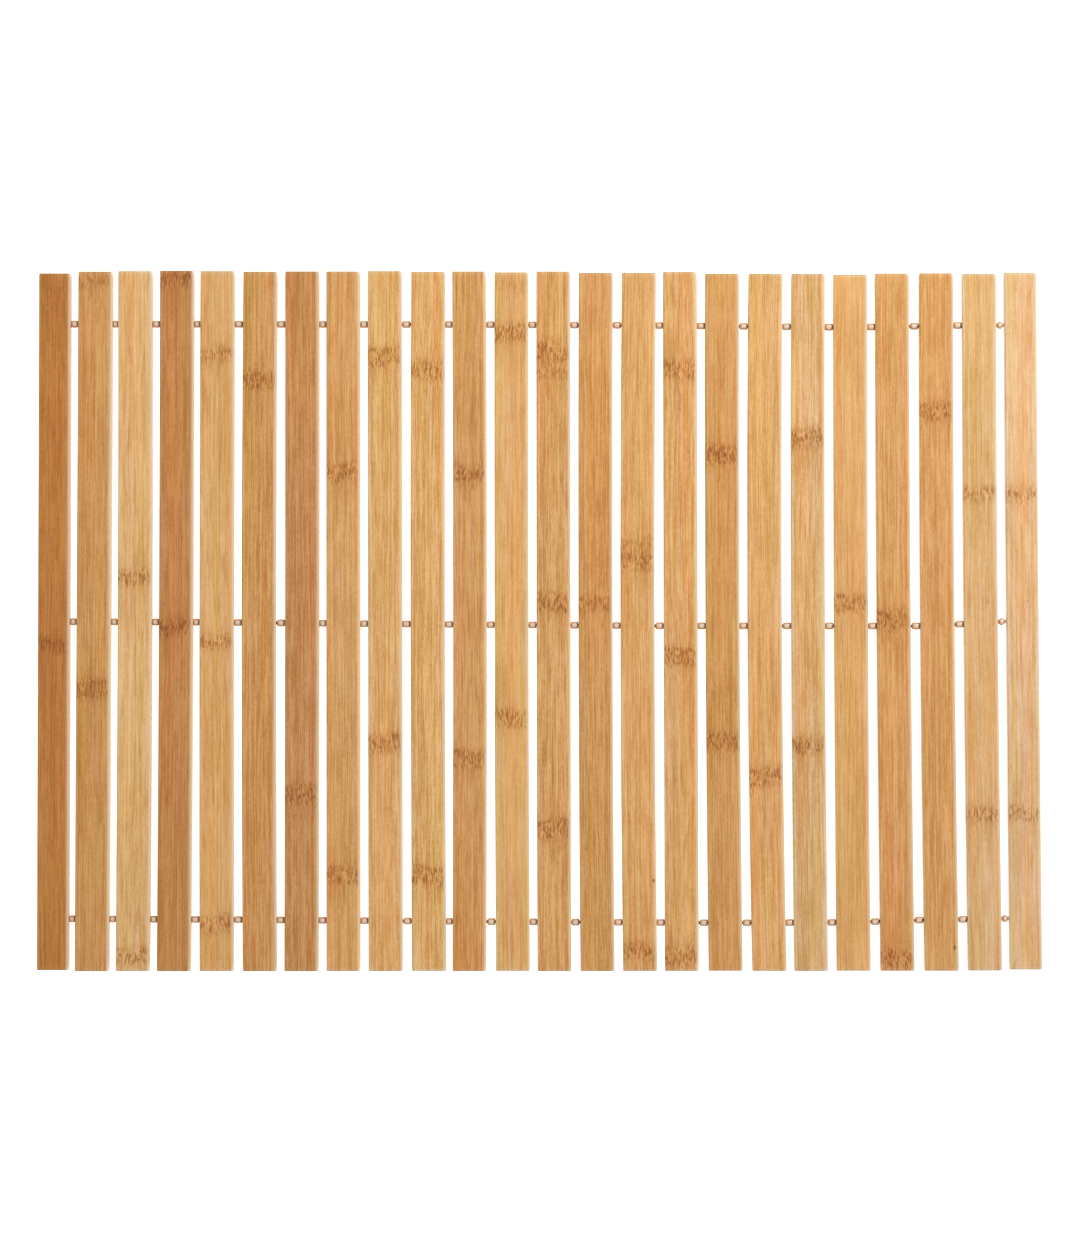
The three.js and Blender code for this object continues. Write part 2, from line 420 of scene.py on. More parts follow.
def write_attribute(mesh, name, kind, values):
    attribute = mesh.attributes.new(name, kind, "POINT")
    field = {"FLOAT": "value", "FLOAT_VECTOR": "vector", "FLOAT_COLOR": "color"}[kind]
    attribute.data.foreach_set(field, np.asarray(values, dtype=np.float32).ravel())


class Wobble:
    """A smooth seeded wave along a length, between about -1 and 1"""

    def __init__(self, random, longest, shortest, waves=5):
        self.lengths = np.geomspace(longest, shortest, waves)
        self.phases = random.uniform(0, 2 * math.pi, waves)
        self.weights = 1 / np.arange(1, waves + 1)
        self.weights /= self.weights.sum()

    def at(self, place):
        turns = 2 * math.pi * np.asarray(place)[..., None] / self.lengths + self.phases
        return (np.sin(turns) * self.weights).sum(axis=-1)


# Slats

def section_points(half, inset, upper_right):
    """A slat's rounded section as x and z about its centre line, drawn in by inset all round"""
    reach = half - inset
    low = inset
    high = SLAT_THICKNESS - inset
    lower = max(LOWER_EDGE_RADIUS - inset, LEAST_EDGE_RADIUS)
    right = max(upper_right - inset, LEAST_EDGE_RADIUS)
    left = max(LEFT_EDGE_RADIUS - inset, LEAST_EDGE_RADIUS)
    corners = [
        (reach - lower, low + lower, lower, -math.pi / 2),
        (reach - right, high - right, right, 0.0),
        (-reach + left, high - left, left, math.pi / 2),
        (-reach + lower, low + lower, lower, math.pi),
    ]
    steps_after = (SIDE_STEPS, FACE_STEPS, SIDE_STEPS, FACE_STEPS)
    outline = []
    for number, (cx, cz, radius, start) in enumerate(corners):
        for step in range(CORNER_STEPS + 1):
            angle = start + step / CORNER_STEPS * math.pi / 2
            outline.append((cx + radius * math.cos(angle), cz + radius * math.sin(angle)))
        next_x, next_z, next_radius, next_start = corners[(number + 1) % len(corners)]
        end_x, end_z = outline[-1]
        next_x += next_radius * math.cos(next_start)
        next_z += next_radius * math.sin(next_start)
        for step in range(1, steps_after[number]):
            share = step / steps_after[number]
            outline.append((end_x + share * (next_x - end_x), end_z + share * (next_z - end_z)))
    return outline


def slat_stations(line):
    """Places along a slat from foot to head, each with how far its section is drawn in"""
    stations = []
    for step in range(END_STEPS):
        angle = step / END_STEPS * math.pi / 2
        depth = END_ROUNDING * (1 - math.cos(angle))
        inset = END_ROUNDING * (1 - math.sin(angle))
        stations.append((depth, inset))
    inner = np.linspace(line.foot + END_ROUNDING, line.head - END_ROUNDING,
                        int((line.head - line.foot) / SECTION_SPACING))
    foot_end = [(line.foot + depth, inset) for depth, inset in stations]
    head_end = [(line.head - depth, inset) for depth, inset in reversed(stations)]
    return foot_end + [(y, 0.0) for y in inner] + head_end


def slat_blank(index, line):
    """A slat without its holes, with slightly uneven sides and upper face"""
    random = np.random.default_rng(SLAT_SEED + index)
    upper_right = SLATS[index]["edge"] * MM
    left_edge = Wobble(random, *EDGE_WAVES)
    right_edge = Wobble(random, *EDGE_WAVES)
    face_wave = Wobble(random, *FACE_WAVES)
    rings = []
    for y, inset in slat_stations(line):
        ring = []
        centre = float(line.centre(y))
        left_move = EDGE_WOBBLE * float(left_edge.at(y))
        right_move = EDGE_WOBBLE * float(right_edge.at(y))
        for x, z in section_points(line.half, inset, upper_right):
            share = x / line.half
            move = right_move * max(share, 0) - left_move * min(share, 0)
            ripple = FACE_RIPPLE * float(face_wave.at(y + FACE_SLANT * share * SLAT_THICKNESS))
            lift = -abs(ripple) if z > CORD_HEIGHT else 0.0
            ring.append((centre + x + move, y, z + lift))
        rings.append(ring)
    return skin("slat_blank", rings)


def turned_cutter(start, end, profile):
    """A round cutter about the line from start to end. profile is radius by distance from start."""
    way = end - start
    turn = way.to_track_quat("Z", "Y").to_matrix()
    rings = []
    for distance, radius in profile:
        centre = start + way.normalized() * distance
        ring = []
        for cos, sin in circle(HOLE_SIDES):
            ring.append(centre + turn @ Vector((radius * cos, radius * sin, 0)))
        rings.append(ring)
    return skin("cutter", rings)


def cord_place(line, row, sign):
    """Where a row's cord passes a slat's side"""
    cord = cord_lines[row]
    y = cord.y(line.side(0, sign))
    y = cord.y(line.side(y, sign))
    return Vector((line.side(y, sign), y, CORD_HEIGHT))


def hole_cutters(index, line):
    """One mesh that takes a slat's three holes, and the pockets of an outer slat"""
    cutters = []
    for row in ROWS:
        left = cord_place(line, row, -1)
        right = cord_place(line, row, 1)
        length = (right - left).length
        wide = HOLE_RADIUS + HOLE_CHAMFER
        profile = [
            (-CUT_OVERRUN, wide), (0.0, wide), (HOLE_CHAMFER, HOLE_RADIUS),
            (length - HOLE_CHAMFER, HOLE_RADIUS), (length, wide), (length + CUT_OVERRUN, wide),
        ]
        if index == 0:
            profile[:3] = pocket_profile()
        if index == SLAT_COUNT - 1:
            profile[3:] = [(length - distance, radius) for distance, radius in reversed(pocket_profile())]
        cutters.append(turned_cutter(left, right, profile))
    return joined("cutters", cutters)


def pocket_profile():
    """A knot's pocket, from its mouth to the hole at its bottom"""
    wide = POCKET_RADIUS + HOLE_CHAMFER
    return [
        (-CUT_OVERRUN, wide), (0.0, wide), (HOLE_CHAMFER, POCKET_RADIUS),
        (POCKET_DEPTH - HOLE_CHAMFER, POCKET_RADIUS), (POCKET_DEPTH, HOLE_RADIUS),
    ]


def cut(blank, cutter_mesh):
    """The blank with the cutters taken out of it, as a new mesh"""
    body = add_object("blank", blank)
    cutter = add_object("cutter", cutter_mesh)
    modifier = body.modifiers.new("holes", "BOOLEAN")
    modifier.operation = "DIFFERENCE"
    modifier.solver = "EXACT"
    modifier.object = cutter
    graph = bpy.context.evaluated_depsgraph_get()
    result = bpy.data.meshes.new_from_object(body.evaluated_get(graph))
    bpy.data.objects.remove(body)
    bpy.data.objects.remove(cutter)
    bpy.data.meshes.remove(blank)
    bpy.data.meshes.remove(cutter_mesh)
    return result


def paint_slat(mesh, index, line):
    """Point attributes that the bamboo reads: its grain, tone, knuckles, ends, sides with their painted
    highlight and shade, and specks
    """
    facts = SLATS[index]
    points = mesh_points(mesh)
    along = points[:, 1]
    across = points[:, 0] - line.centre(along)
    count = len(along)
    grain_across = across + GRAIN_SHIFT_ACROSS * index
    grain_along = along + GRAIN_SHIFT_ALONG * index
    grain = np.stack([grain_across, grain_along, points[:, 2]], axis=1)
    write_attribute(mesh, "grain", "FLOAT_VECTOR", grain)

    shade = np.interp(along, (line.foot, line.head), (FOOT_SHADE, 1.0))
    channels = [channel * shade for channel in linear(TONES[facts["tone"]])]
    write_attribute(mesh, "tone", "FLOAT_COLOR", np.stack(channels + [np.ones(count)], axis=1))

    core = np.zeros(count)
    halo = np.zeros(count)
    for place, strength in facts["knuckles"]:
        arch = KNUCKLE_ARCH * np.cos(across / line.half * KNUCKLE_ARCH_TURN + place)
        from_knuckle = along - place * MM + arch
        core += strength * np.exp(-(from_knuckle / KNUCKLE_REACH) ** 2)
        halo += strength * np.exp(-((from_knuckle + KNUCKLE_HALO_DROP) / KNUCKLE_HALO) ** 2)
    write_attribute(mesh, "core", "FLOAT", core)
    write_attribute(mesh, "halo", "FLOAT", halo)

    write_attribute(mesh, "contrast", "FLOAT", np.full(count, facts["contrast"]))
    write_attribute(mesh, "dash", "FLOAT", np.full(count, facts["dash"]))
    write_attribute(mesh, "rim", "FLOAT", np.minimum(line.head - along, along - line.foot))

    # These place the painted highlight on the upper right edge, stronger on a wider edge, and the painted
    # shade on the left side
    write_attribute(mesh, "from_left", "FLOAT", line.half + across)
    write_attribute(mesh, "from_right", "FLOAT", line.half - across)
    edge_highlight = np.interp(facts["edge"], (0, WIDE_EDGE), (LEAST_EDGE_HIGHLIGHT, 1))
    write_attribute(mesh, "edge_highlight", "FLOAT", np.full(count, edge_highlight))

    speck = np.ones((count, 3))
    for spot in SPECKS:
        if spot["slat"] == index + 1:
            speck[:, 0] = (across - spot["across"] * MM) / (spot["radius"] * MM)
            speck[:, 1] = (along - spot["along"] * MM) / (spot["radius"] * MM * SPECK_STRETCH)
            speck[:, 2] = spot["faint"]
    write_attribute(mesh, "speck", "FLOAT_VECTOR", speck)


def make_slat(index, line, material):
    mesh = cut(slat_blank(index, line), hole_cutters(index, line))
    paint_slat(mesh, index, line)
    smooth(mesh, SLAT_SHARP_ANGLE)
    mesh.materials.clear()
    mesh.materials.append(material)
    piece = add_object("bamboo_slat_%02d" % (index + 1), mesh)
    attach(piece, "root")
    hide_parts(slat_node(index))


# Beads

def bead_mesh(middle, half, row, random, collar=BEAD_COLLAR_RADIUS, pale_from=1.0, redness=1.0):
    """A turned bead about a place across the mat: a round body between two collars, drilled through. From
    pale_from on its right side its painted flank shade grows no further, and redness is the most that it may
    redden."""
    y = cord_lines[row].y(middle)
    radius = BEAD_RADIUS * random.uniform(BEAD_LEAST_SIZE, 1.0)
    shoulder = collar - BEAD_LIP
    body = BEAD_BODY_SHARE * half
    profile = [(-half, BEAD_BORE), (-half, shoulder), (-half + BEAD_LIP, collar)]
    for step in range(BEAD_STEPS + 1):
        angle = math.pi * step / BEAD_STEPS
        swell = math.sin(angle) ** BEAD_SWELL
        profile.append((-body * math.cos(angle), collar + (radius - collar) * swell))
    profile += [(half - BEAD_LIP, collar), (half, shoulder), (half, BEAD_BORE)]
    rings = []
    for along, reach in profile:
        x = middle + along
        rings.append([(x, y + reach * cos, CORD_HEIGHT + reach * sin) for cos, sin in circle(BEAD_SIDES)])
    rings.append(rings[0])
    mesh = skin("bead", rings, capped=False)
    points = mesh_points(mesh)
    write_attribute(mesh, "reach", "FLOAT", np.clip((points[:, 0] - middle) / half, -1, pale_from))
    write_attribute(mesh, "height", "FLOAT", np.abs(points[:, 2] - CORD_HEIGHT) / radius)
    write_attribute(mesh, "blush", "FLOAT", np.full(len(points), redness * random.uniform(0, 1)))
    return mesh


def make_beads(row, material):
    random = np.random.default_rng(BEAD_SEED + ROWS.index(row))
    beads = []
    for left, right in zip(slat_lines, slat_lines[1:]):
        start = cord_place(left, row, 1).x + BEAD_CLEARANCE
        end = cord_place(right, row, -1).x - BEAD_CLEARANCE
        half = min((end - start) / 2, BEAD_HALF_LENGTH)
        if right is slat_lines[-1]:
            half -= LAST_BEAD_SHRINK
            middle = start + half + LAST_BEAD_SHIFT
            bead = bead_mesh(middle, half, row, random, LAST_BEAD_COLLAR_RADIUS, LAST_BEAD_PALE_FROM, 0.0)
        else:
            slack = (end - start) / 2 - half
            middle = (start + end) / 2 + slack * random.uniform(-1, 1)
            bead = bead_mesh(middle, half, row, random)
        beads.append(bead)
    mesh = joined("beads_" + row, beads)
    merge_points(mesh)
    smooth(mesh, BEAD_SHARP_ANGLE)
    mesh.materials.append(material)
    piece = add_object("beads_" + row, mesh)
    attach(piece, "root")


def merge_points(mesh):
    """Joins the points that lie on each other where a bead's rings meet"""
    work = bmesh.new()
    work.from_mesh(mesh)
    bmesh.ops.remove_doubles(work, verts=work.verts, dist=MERGE_DISTANCE)
    bmesh.ops.recalc_face_normals(work, faces=work.faces)
    work.to_mesh(mesh)
    work.free()


# Cords and their end knots

def cord_mesh(row):
    """A laid cord as one tube whose lobed section turns along it"""
    cord = cord_lines[row]
    start = cord.start + CORD_END_GAP
    end = cord.end - CORD_END_GAP
    count = int((end - start) / CORD_STEP)
    rings = []
    for step in range(count + 1):
        x = start + (end - start) * step / count
        lay = 2 * math.pi * x / CORD_LAY
        y = cord.y(x)
        ring = []
        for side in range(CORD_SIDES):
            angle = 2 * math.pi * side / CORD_SIDES
            lobe = 1 - STRAND_RELIEF + STRAND_RELIEF * math.cos(CORD_STRANDS * (angle - lay))
            reach = CORD_RADIUS * lobe
            ring.append((x, y + reach * math.cos(angle), CORD_HEIGHT + reach * math.sin(angle)))
        rings.append(ring)
    mesh = skin("cord", rings)
    # The cord is painted dark brown as painted shade, except near its right end, where it keeps its own pale
    # colour
    own_colour_share = np.clip((mesh_points(mesh)[:, 0] - CORD_OWN_COLOUR_START) / CORD_OWN_COLOUR_RISE, 0, 1)
    write_attribute(mesh, "own_colour_share", "FLOAT", own_colour_share)
    return mesh


def tube(path, radius):
    """A round tube along a path, rounded off at both ends"""
    rings = []
    up = Vector((0, 0, 1))
    for number, point in enumerate(path):
        before = path[max(number - 1, 0)]
        after = path[min(number + 1, len(path) - 1)]
        along = (after - before).normalized()
        across = along.cross(up)
        if across.length < NEARLY_UPRIGHT:
            across = along.cross(Vector((0, 1, 0)))
        across.normalize()
        raised = across.cross(along).normalized()
        from_end = min(number, len(path) - 1 - number) / TUBE_END_RINGS
        reach = radius * (TUBE_END_SIZE + (1 - TUBE_END_SIZE) * min(from_end, 1.0))
        ring = []
        for cos, sin in circle(KNOT_SIDES):
            ring.append(point + across * (reach * cos) + raised * (reach * sin))
        rings.append(ring)
    return skin("tube", rings)


def knot_meshes(row, sign):
    """An end knot: nearly two turns of the cord round itself, and the trimmed end that stands out of them"""
    cord = cord_lines[row]
    tip = cord.end if sign > 0 else cord.start
    inner = tip - sign * KNOT_DEPTH
    outer = tip - sign * KNOT_STUB
    wrap = []
    for step in range(WRAP_STEPS + 1):
        share = step / WRAP_STEPS
        angle = 2 * math.pi * WRAP_TURNS * share
        x = inner + (outer - inner) * share
        y = cord.y(x) + WRAP_RADIUS * math.cos(angle)
        wrap.append(Vector((x, y, CORD_HEIGHT + WRAP_RADIUS * math.sin(angle))))
    stub = []
    for step in range(STUB_STEPS + 1):
        x = inner + (tip - sign * STUB_INSET - inner) * step / STUB_STEPS
        stub.append(Vector((x, cord.y(x) + STUB_OFFSET, CORD_HEIGHT + STUB_OFFSET)))
    return [tube(wrap, WRAP_STRAND_RADIUS), tube(stub, STUB_RADIUS)]


def make_cord(row, material):
    mesh = cord_mesh(row)
    smooth(mesh, CORD_SHARP_ANGLE)
    mesh.materials.append(material)
    piece = add_object("cord_" + row, mesh)
    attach(piece, "root")
    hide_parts("string_" + row)


def make_knots(row, material):
    for sign, side in ((-1, "left"), (1, "right")):
        mesh = joined("knot", knot_meshes(row, sign))
        # Knots keep the cord's own pale colour, with no painted shade
        write_attribute(mesh, "own_colour_share", "FLOAT", np.ones(len(mesh.vertices)))
        smooth(mesh, CORD_SHARP_ANGLE)
        mesh.materials.append(material)
        piece = add_object("knot_%s_%s" % (row, side), mesh)
        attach(piece, "root")


# Materials

class Shader:
    """Short calls for building one node material"""

    def __init__(self, name):
        self.material = bpy.data.materials.new(name)
        self.material.use_nodes = True
        self.tree = self.material.node_tree
        self.tree.nodes.clear()
        self.surface = self.tree.nodes.new("ShaderNodeBsdfPrincipled")
        output = self.tree.nodes.new("ShaderNodeOutputMaterial")
        self.tree.links.new(self.surface.outputs["BSDF"], output.inputs["Surface"])

    def feed(self, value, socket):
        if isinstance(value, bpy.types.NodeSocket):
            self.tree.links.new(value, socket)
        else:
            socket.default_value = value

    def attribute(self, name, output="Fac"):
        node = self.tree.nodes.new("ShaderNodeAttribute")
        node.attribute_name = name
        return node.outputs[output]

    def math(self, operation, first, second=0.0, clamp=False):
        node = self.tree.nodes.new("ShaderNodeMath")
        node.operation = operation
        node.use_clamp = clamp
        self.feed(first, node.inputs[0])
        self.feed(second, node.inputs[1])
        return node.outputs[0]

    def add(self, first, second, clamp=False):
        return self.math("ADD", first, second, clamp)

    def times(self, first, second):
        return self.math("MULTIPLY", first, second)

    def vector(self, operation, first, second):
        node = self.tree.nodes.new("ShaderNodeVectorMath")
        node.operation = operation
        self.feed(first, node.inputs[0])
        self.feed(second, node.inputs[1])
        return node.outputs[0]

    def length(self, vector):
        node = self.tree.nodes.new("ShaderNodeVectorMath")
        node.operation = "LENGTH"
        self.feed(vector, node.inputs[0])
        return node.outputs["Value"]

    def place(self):
        """The place on the piece, in metres"""
        return self.tree.nodes.new("ShaderNodeTexCoord").outputs["Object"]

    def scaled(self, first, factor):
        node = self.tree.nodes.new("ShaderNodeVectorMath")
        node.operation = "SCALE"
        self.feed(first, node.inputs[0])
        self.feed(factor, node.inputs["Scale"])
        return node.outputs[0]

    def noise(self, place, stretch, detail=2.0, roughness=0.5, output="Fac"):
        """Noise with stretch cells per metre along x, y and z"""
        node = self.tree.nodes.new("ShaderNodeTexNoise")
        node.inputs["Scale"].default_value = 1.0
        node.inputs["Detail"].default_value = detail
        node.inputs["Roughness"].default_value = roughness
        self.feed(self.vector("MULTIPLY", place, stretch), node.inputs["Vector"])
        return node.outputs[output]

    def span(self, value, low, high, to_low=0.0, to_high=1.0):
        """value from low to high taken smoothly to to_low to to_high"""
        node = self.tree.nodes.new("ShaderNodeMapRange")
        node.interpolation_type = "SMOOTHSTEP"
        for socket, number in zip(node.inputs[1:5], (low, high, to_low, to_high)):
            socket.default_value = number
        self.feed(value, node.inputs[0])
        return node.outputs[0]

    def mix(self, factor, first, second, blend="MIX"):
        node = self.tree.nodes.new("ShaderNodeMix")
        node.data_type = "RGBA"
        node.blend_type = blend
        node.clamp_factor = True
        self.feed(factor, node.inputs[0])
        self.feed(first, node.inputs[6])
        self.feed(second, node.inputs[7])
        return node.outputs[2]

    def bump(self, height, strength, distance):
        node = self.tree.nodes.new("ShaderNodeBump")
        node.inputs["Strength"].default_value = strength
        node.inputs["Distance"].default_value = distance
        self.feed(height, node.inputs["Height"])
        self.feed(node.outputs[0], self.surface.inputs["Normal"])


def colour(red, green, blue):
    return (red, green, blue, 1.0)


def dye(hex_colour):
    return colour(*linear(hex_colour))


def centred(shader, value, low, high, size):
    """value from low to high taken smoothly to minus size to size"""
    return shader.span(value, low, high, -size, size)


def bamboo_material():
    shader = Shader("bamboo")
    grain = shader.attribute("grain", "Vector")
    tone = shader.attribute("tone", "Color")
    core = shader.attribute("core")
    halo = shader.attribute("halo")
    contrast = shader.attribute("contrast")
    dash = shader.attribute("dash")
    rim = shader.attribute("rim")
    speck = shader.attribute("speck", "Vector")

    # Fibres drift a little along a slat, and swing from side to side near a knuckle
    bend = shader.noise(grain, (22, 5, 22), 1.0, 0.5, "Color")
    wave = shader.noise(grain, (210, 75, 210), 2.0, 0.55, "Color")
    swing = shader.times(shader.add(core, shader.times(halo, 0.6)), 0.003)
    sideways = shader.vector("MULTIPLY", shader.vector("SUBTRACT", wave, (0.5, 0.5, 0.5)), (1, 0, 1))
    drifting = shader.vector("MULTIPLY", shader.vector("SUBTRACT", bend, (0.5, 0.5, 0.5)), (0.002, 0, 0.002))
    place = shader.vector("ADD", grain, shader.scaled(sideways, swing))
    place = shader.vector("ADD", place, drifting)

    grit = shader.noise(place, (1500, 420, 1500), 1.0, 0.5)
    hair = shader.noise(place, (1600, 15, 1600), 2.0, 0.6)
    fine = shader.noise(place, (900, 6, 900), 2.0, 0.55)
    short = shader.noise(place, (1000, 55, 1000), 2.0, 0.5)
    medium = shader.noise(place, (330, 3, 330), 2.0, 0.5)
    broad = shader.noise(place, (120, 2.6, 120), 2.0, 0.5)
    cloud = shader.noise(grain, (70, 22, 70), 3.0, 0.6)

    # Lightness of the grain, mostly between -1 and 1
    light = centred(shader, fine, 0.40, 0.60, 0.36)
    light = shader.add(light, centred(shader, hair, 0.39, 0.61, 0.42))
    light = shader.add(light, centred(shader, medium, 0.36, 0.64, 0.06))
    light = shader.add(light, centred(shader, short, 0.42, 0.58, 0.34))
    light = shader.add(light, centred(shader, grit, 0.35, 0.65, 0.27))
    light = shader.times(light, contrast)
    light = shader.add(light, centred(shader, cloud, 0.35, 0.65, 0.22))
    half_light = shader.add(shader.times(light, 0.5), 0.5, True)
    grain_colour = shader.mix(half_light, colour(0.80, 0.67, 0.42), colour(1.14, 1.23, 1.48))
    grained = shader.mix(1.0, tone, grain_colour, "MULTIPLY")

    # Streaks that are rosier or more olive than the rest, broad ones and narrow ones
    rosy = shader.mix(shader.span(broad, 0.48, 0.66), grained, colour(1.04, 0.95, 0.84), "MULTIPLY")
    olive = shader.mix(shader.span(broad, 0.52, 0.34), rosy, colour(0.98, 1.0, 0.85), "MULTIPLY")
    streak = shader.noise(shader.vector("ADD", place, (0.5, 0.2, 0)), (420, 6, 420), 2.0, 0.6)
    streaked = shader.mix(shader.span(streak, 0.50, 0.66), olive, colour(1.02, 0.98, 0.84), "MULTIPLY")
    streaked = shader.mix(shader.span(streak, 0.50, 0.34), streaked, colour(0.99, 1.01, 1.15), "MULTIPLY")

    # Dark dashes where bundles of vessels come to the surface
    bundle = shader.noise(place, (760, 42, 760), 1.0, 0.4)
    dashes = shader.times(shader.span(bundle, 0.58, 0.66), dash)
    dashed = shader.mix(shader.times(dashes, 0.6), streaked, colour(0.72, 0.56, 0.38), "MULTIPLY")

    # A knuckle: warm shade round it, and curled flecks, dark and light, across its middle
    shade = shader.add(shader.times(halo, 0.22), shader.times(core, 0.38))
    warmed = shader.mix(shade, dashed, colour(0.82, 0.69, 0.48), "MULTIPLY")
    swirled = shader.vector("ADD", grain, shader.scaled(sideways, 0.0016))
    curl = shader.noise(swirled, (640, 270, 640), 2.0, 0.55)
    ridge = shader.math("ABSOLUTE", shader.math("SUBTRACT", curl, 0.5))
    ridge = shader.span(ridge, 0.0, 0.04, 1.0, 0.0)
    upright = shader.noise(swirled, (1300, 280, 1300), 1.0, 0.4)
    fleck = shader.math("MAXIMUM", shader.times(ridge, 0.5), shader.span(upright, 0.51, 0.57))
    within = shader.span(core, 0.10, 0.65)
    fleck = shader.times(fleck, within)
    gleam = shader.times(shader.span(upright, 0.48, 0.40), within)
    flecked = shader.mix(fleck, warmed, colour(0.65, 0.47, 0.25), "MULTIPLY")
    flecked = shader.mix(shader.times(gleam, 0.5), flecked, colour(1.16, 1.18, 1.2), "MULTIPLY")

    # The upper right edges are painted paler as a painted highlight from the light on the right, and the
    # left sides greyer as painted shade; the ends are greyer too
    pale = shader.span(shader.attribute("from_right"), 0.0, EDGE_HIGHLIGHT_WIDTH, 0.95, 0.0)
    pale = shader.times(pale, shader.attribute("edge_highlight"))
    painted_edges = shader.mix(pale, flecked, dye("#efd8b6"))
    painted_left_shade = shader.span(shader.attribute("from_left"), 0.0, LEFT_SHADE_WIDTH, 0.95, 0.0)
    grey_end = shader.span(rim, 0.0, GREY_END_WIDTH, 0.95, 0.0)
    grey = shader.math("MAXIMUM", painted_left_shade, grey_end)
    painted_edges = shader.mix(grey, painted_edges, colour(1.05, 1.3, 1.95), "MULTIPLY")

    # Sawn ends are browner at their arris, and a few specks are nearly black
    sawn = shader.span(rim, SAWN_FULL_WIDTH, SAWN_WIDTH, 0.5, 0.0)
    ended = shader.mix(sawn, painted_edges, colour(0.68, 0.60, 0.52), "MULTIPLY")
    spot = shader.span(shader.length(speck), 0.35, 1.0, 0.9, 0.0)
    finished = shader.mix(spot, ended, colour(0.36, 0.26, 0.18), "MULTIPLY")
    shader.feed(finished, shader.surface.inputs["Base Color"])

    rough = shader.add(shader.times(fine, 0.25), 0.42)
    shader.feed(rough, shader.surface.inputs["Roughness"])
    shader.surface.inputs["Specular IOR Level"].default_value = 0.35
    shader.surface.inputs["Coat Weight"].default_value = 0.3
    shader.surface.inputs["Coat Roughness"].default_value = 0.22
    relief = shader.math("SUBTRACT", fine, shader.times(dashes, 0.6))
    relief = shader.math("SUBTRACT", relief, shader.times(fleck, 0.5))
    shader.bump(relief, 0.35, 0.00006)
    return shader.material


def bead_material():
    shader = Shader("bead")
    reach = shader.attribute("reach")
    blush = shader.attribute("blush")
    position = shader.place()
    drab = shader.mix(shader.span(blush, 0.2, 0.5), dye("#b09766"), dye("#c0946a"))
    drab = shader.mix(shader.span(blush, 0.5, 0.9), drab, dye("#c98a72"))
    # Painted highlight: the top of the bead, and its bottom alike, are painted pale cream, as the light from
    # above makes them look
    painted_top_highlight = shader.span(shader.attribute("height"), 0.70, 0.97, 0.0, 0.72)
    cream = shader.mix(painted_top_highlight, drab, dye("#ffe8ce"))
    mottle = shader.noise(position, (900, 1500, 1500), 3.0, 0.6)
    cream = shader.mix(shader.span(mottle, 0.5, 0.75, 0.0, 0.35), cream, dye("#b98f6c"))
    # Painted shade: the flanks where the bead meets the slats are painted brown for the shade between the
    # slats, darker on the right side
    left_flank_shade = dye("#c79058")
    right_flank_shade = dye("#a06a42")
    collar = shader.mix(shader.span(reach, -0.5, 0.5), left_flank_shade, right_flank_shade)
    painted_flank_shade = shader.span(shader.math("ABSOLUTE", reach), 0.46, 0.72)
    shade = shader.mix(painted_flank_shade, cream, collar)
    shader.feed(shade, shader.surface.inputs["Base Color"])
    shader.surface.inputs["Roughness"].default_value = 0.3
    shader.surface.inputs["IOR"].default_value = 1.6
    shader.surface.inputs["Coat Weight"].default_value = 1.0
    shader.surface.inputs["Coat IOR"].default_value = 1.7
    shader.surface.inputs["Coat Roughness"].default_value = 0.12
    shader.bump(mottle, 0.2, 0.00004)
    return shader.material


def cord_material():
    shader = Shader("cord")
    position = shader.place()
    yarn = shader.noise(position, (1800, 5200, 5200), 3.0, 0.6)
    # Painted shade: the dark browns stand for the shade that the cord lies in between the slats; peach is
    # its own colour
    shaded_brown = shader.mix(shader.span(yarn, 0.35, 0.7), dye("#6a482c"), dye("#a27a55"))
    peach = shader.mix(shader.span(yarn, 0.35, 0.7), dye("#f2e0d4"), dye("#fff2e8"))
    base = shader.mix(shader.attribute("own_colour_share"), shaded_brown, peach)
    shader.feed(base, shader.surface.inputs["Base Color"])
    shader.surface.inputs["Roughness"].default_value = 0.85
    shader.surface.inputs["Sheen Weight"].default_value = 0.2
    shader.bump(yarn, 0.6, 0.00015)
    return shader.material


def floor_material():
    """A pale floor that also glows, as a light table does, so that the gaps between the slats stay white"""
    shader = Shader("floor")
    position = shader.place()
    cloud = shader.noise(position, (3, 3, 3), 2.0, 0.5)
    pale = shader.mix(cloud, colour(0.90, 0.90, 0.90), colour(0.93, 0.93, 0.93))
    shader.feed(pale, shader.surface.inputs["Base Color"])
    shader.feed(pale, shader.surface.inputs["Emission Color"])
    shader.surface.inputs["Emission Strength"].default_value = 0.95
    shader.surface.inputs["Roughness"].default_value = 0.9
    shader.surface.inputs["Specular IOR Level"].default_value = 0.1
    return shader.material


# Camera, floor and light

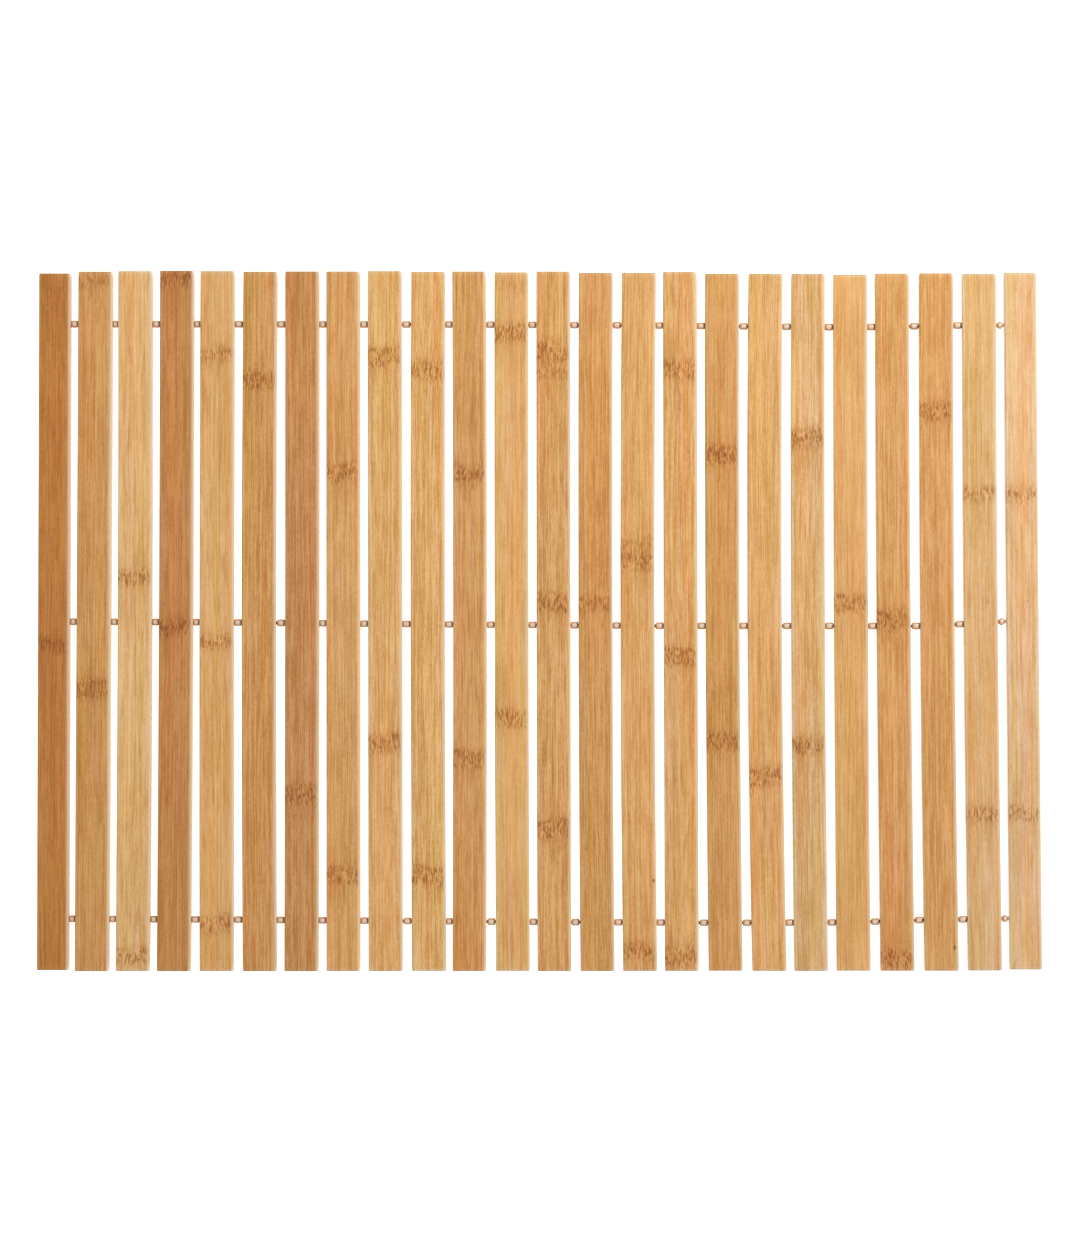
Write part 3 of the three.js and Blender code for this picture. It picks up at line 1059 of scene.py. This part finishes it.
def make_camera():
    data = bpy.data.cameras.new("camera")
    data.sensor_fit = "VERTICAL"
    data.sensor_height = SENSOR_HEIGHT_MM
    data.sensor_width = SENSOR_HEIGHT_MM
    view_height = FRAME_HEIGHT_PIXELS * METRES_PER_PIXEL
    data.lens = SENSOR_HEIGHT_MM * CAMERA_DISTANCE / view_height
    camera = bpy.data.objects.new("camera", data)
    camera.location = (CAMERA_X, CAMERA_Y, SLAT_THICKNESS + CAMERA_DISTANCE)
    bpy.context.scene.collection.objects.link(camera)
    bpy.context.scene.camera = camera


def make_floor():
    half = FLOOR_HALF
    mesh = bpy.data.meshes.new("floor")
    corners = [(-half, -half, 0), (half, -half, 0), (half, half, 0), (-half, half, 0)]
    mesh.from_pydata(corners, [], [(0, 1, 2, 3)])
    mesh.materials.append(floor_material())
    floor = add_object("floor", mesh)
    floor.location.z = -FLOOR_DROP


def make_light():
    """A key light from the upper right, and an even white light from all round"""
    data = bpy.data.lights.new("key", "AREA")
    data.shape = "DISK"
    data.size = KEY_SIZE
    data.energy = KEY_POWER
    data.color = (1.0, 1.0, 1.0)
    light = bpy.data.objects.new("key", data)
    light.location = KEY_PLACE
    aim = Vector(KEY_TARGET) - Vector(KEY_PLACE)
    light.rotation_euler = aim.to_track_quat("-Z", "Y").to_euler()
    bpy.context.scene.collection.objects.link(light)
    world = bpy.data.worlds.new("world")
    world.use_nodes = True
    background = world.node_tree.nodes["Background"]
    background.inputs["Color"].default_value = (1.0, 1.0, 1.0, 1.0)
    background.inputs["Strength"].default_value = SKY_STRENGTH
    bpy.context.scene.world = world


def set_view():
    view = bpy.context.scene.view_settings
    view.view_transform = "Standard"
    view.look = "None"


make_camera()
set_view()
make_floor()
make_light()

bamboo = bamboo_material()
for slat_index, slat_line in enumerate(slat_lines):
    make_slat(slat_index, slat_line, bamboo)

turned_wood = bead_material()
yarn = cord_material()
for row_name in ROWS:
    make_beads(row_name, turned_wood)
    make_cord(row_name, yarn)
    make_knots(row_name, yarn)
